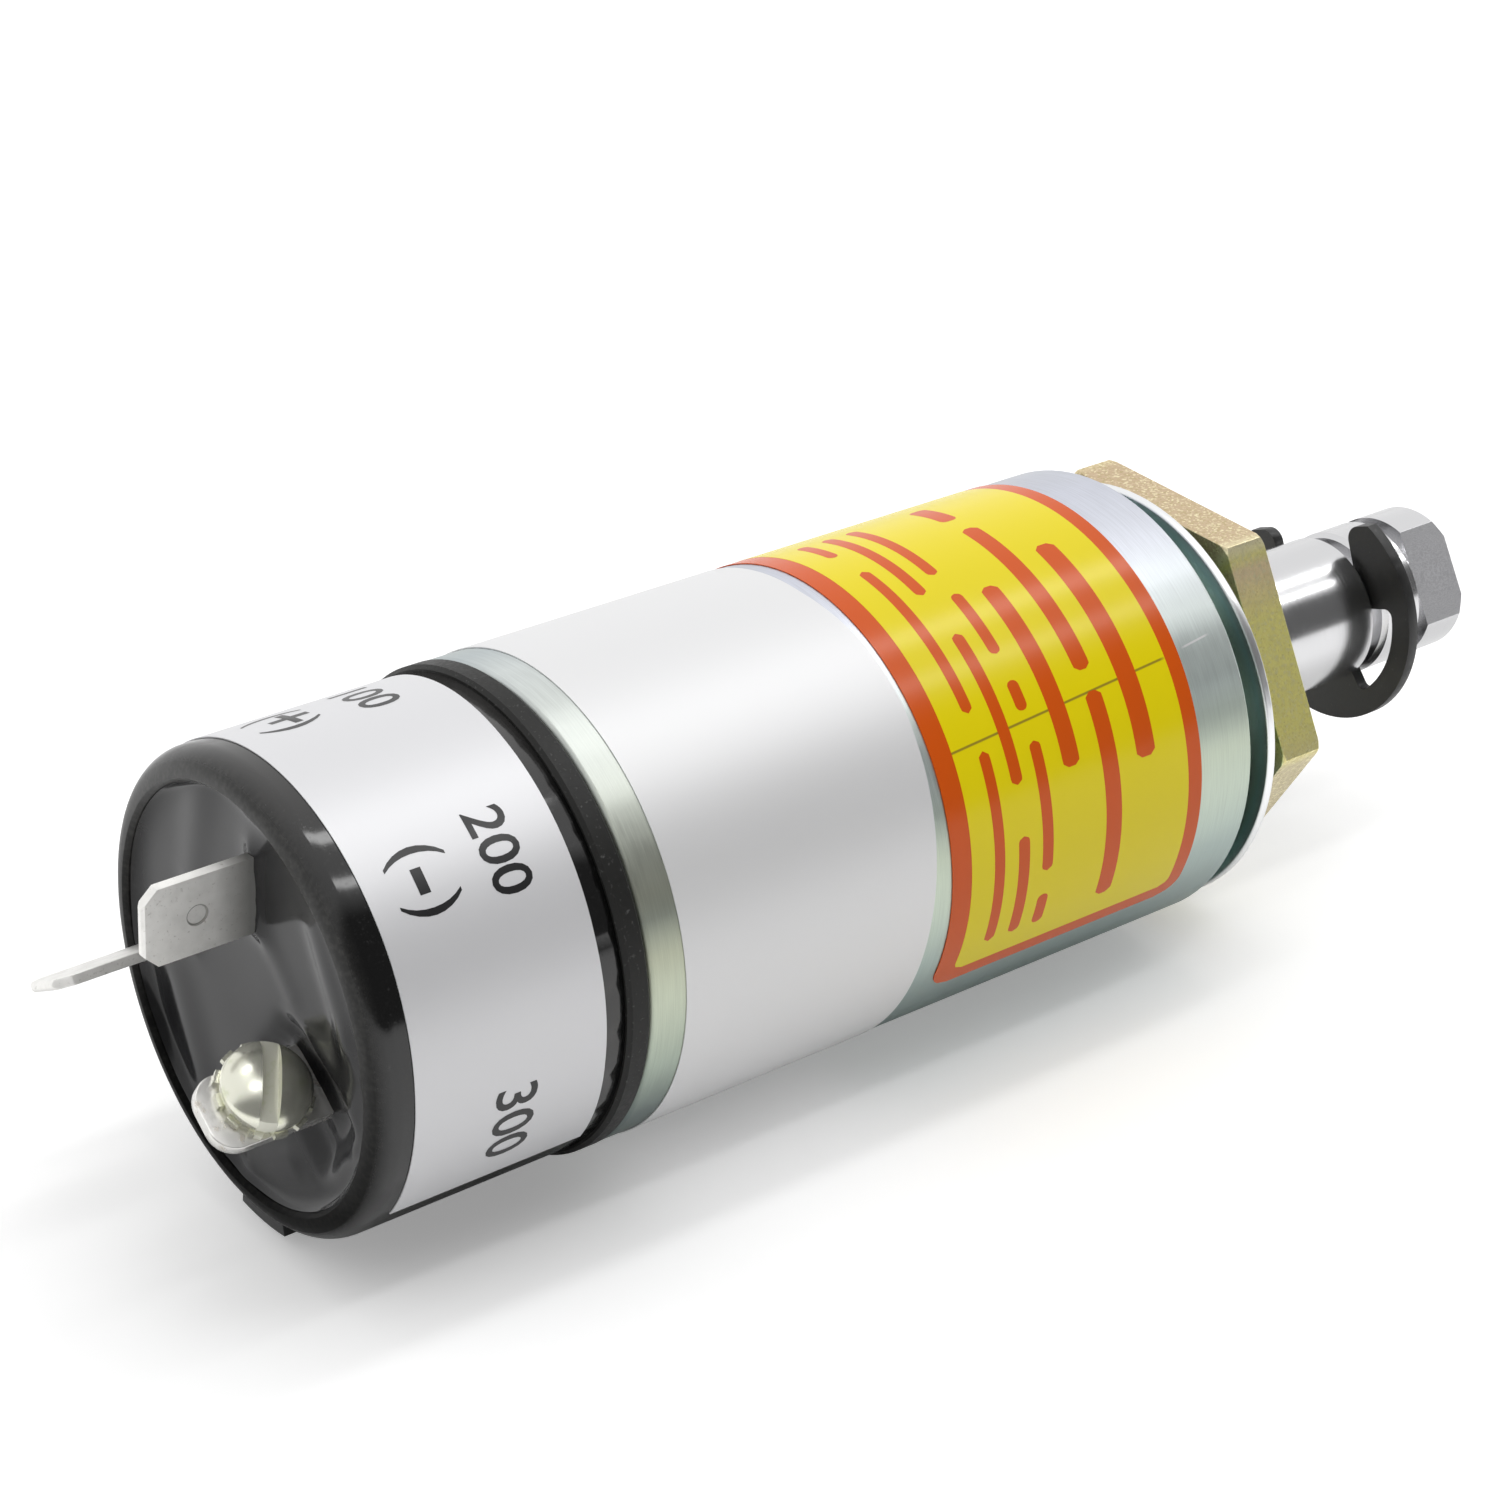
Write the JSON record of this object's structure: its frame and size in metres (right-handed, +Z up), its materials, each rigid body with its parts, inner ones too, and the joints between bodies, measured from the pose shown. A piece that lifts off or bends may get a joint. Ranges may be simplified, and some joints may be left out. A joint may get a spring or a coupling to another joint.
{
  "type": "solenoid",
  "caption": "Cylindrical pull solenoid with threaded mounting bush, washer and thin nut, sliding plunger with retaining clip, and potted cap with blade and screw terminals.",
  "frame": {"origin": "centre of the shell's mounting end, where the threaded bush comes out", "axes": "+X along the axis out of the bush toward the plunger end, +Z up, +Y away from the side seen in the picture"},
  "size_m": [0.1312, 0.0382, 0.0383],
  "materials": {
    "shell_zinc": "bright zinc plate, brushed round the axis",
    "washer_zinc": "bright zinc plate",
    "bush_steel": "zinc plated, turned",
    "nut_yellow_zinc": "yellow chromate zinc plate",
    "plunger_chrome": "polished",
    "clip_black": "black oxide",
    "cap_plastic": "glossy black",
    "potting_resin": "glossy black",
    "gasket_rubber": "matte black",
    "blade_tin": "tin plate, speckled",
    "tab_tin": "bright tin plate",
    "screw_zinc": "zinc plate with a yellow tint",
    "cap_label_film": "satin silver film with plain signs",
    "body_label_film": "satin silver film",
    "yellow_label_film": "gloss yellow film with orange-red border and bars",
    "tube_brass": "drawn",
    "winding_copper": "enamelled copper wire",
    "bobbin_nylon": "natural nylon",
    "wrap_tape": "polyester tape",
    "carrier_phenolic": "brown phenolic",
    "contact_silver": "silver faced",
    "spring_steel": "music wire",
    "core_iron": "soft iron, turned"
  },
  "bodies": {
    "housing": {"shell": "shell_zinc", "mounting_bush": "bush_steel", "guide_tube": "tube_brass", "fixed_core": "core_iron", "rear_flux_plate": "core_iron", "bobbin": "bobbin_nylon", "hold_in_winding": "winding_copper", "pull_in_winding": "winding_copper", "winding_wrap": "wrap_tape", "terminal_cap": "cap_plastic", "gasket_ring": "gasket_rubber", "potting": "potting_resin", "negative_blade": "blade_tin", "positive_blade": "blade_tin", "auxiliary_tab": "tab_tin", "auxiliary_screw": "screw_zinc", "star_lock_washer": "screw_zinc", "switch_carrier": "carrier_phenolic", "pull_contact": "contact_silver", "supply_contact": "contact_silver", "contact_spring": "spring_steel", "supply_lead": "winding_copper", "return_lead": "winding_copper", "pull_lead": "winding_copper", "auxiliary_lead": "winding_copper", "mounting_washer": "washer_zinc", "mounting_nut": "nut_yellow_zinc", "cap_label": "cap_label_film", "body_label": "body_label_film", "yellow_label": "yellow_label_film"},
    "plunger": {"plunger": "plunger_chrome", "retaining_clip": "clip_black"},
    "switch": {"push_rod": "tube_brass", "contact_bar": "contact_silver"}
  },
  "joints": [
    {"name": "plunger_slide", "type": "slide", "parent": "housing", "child": "plunger", "axis": [-1, 0, 0], "range_m": [0, 0.016]},
    {"name": "switch_slide", "type": "slide", "parent": "housing", "child": "switch", "axis": [-1, 0, 0], "range_m": [0, 0.0012], "stiffness_N_per_m": 500, "springref_m": -0.004, "deforming": ["contact_spring"]}
  ]
}
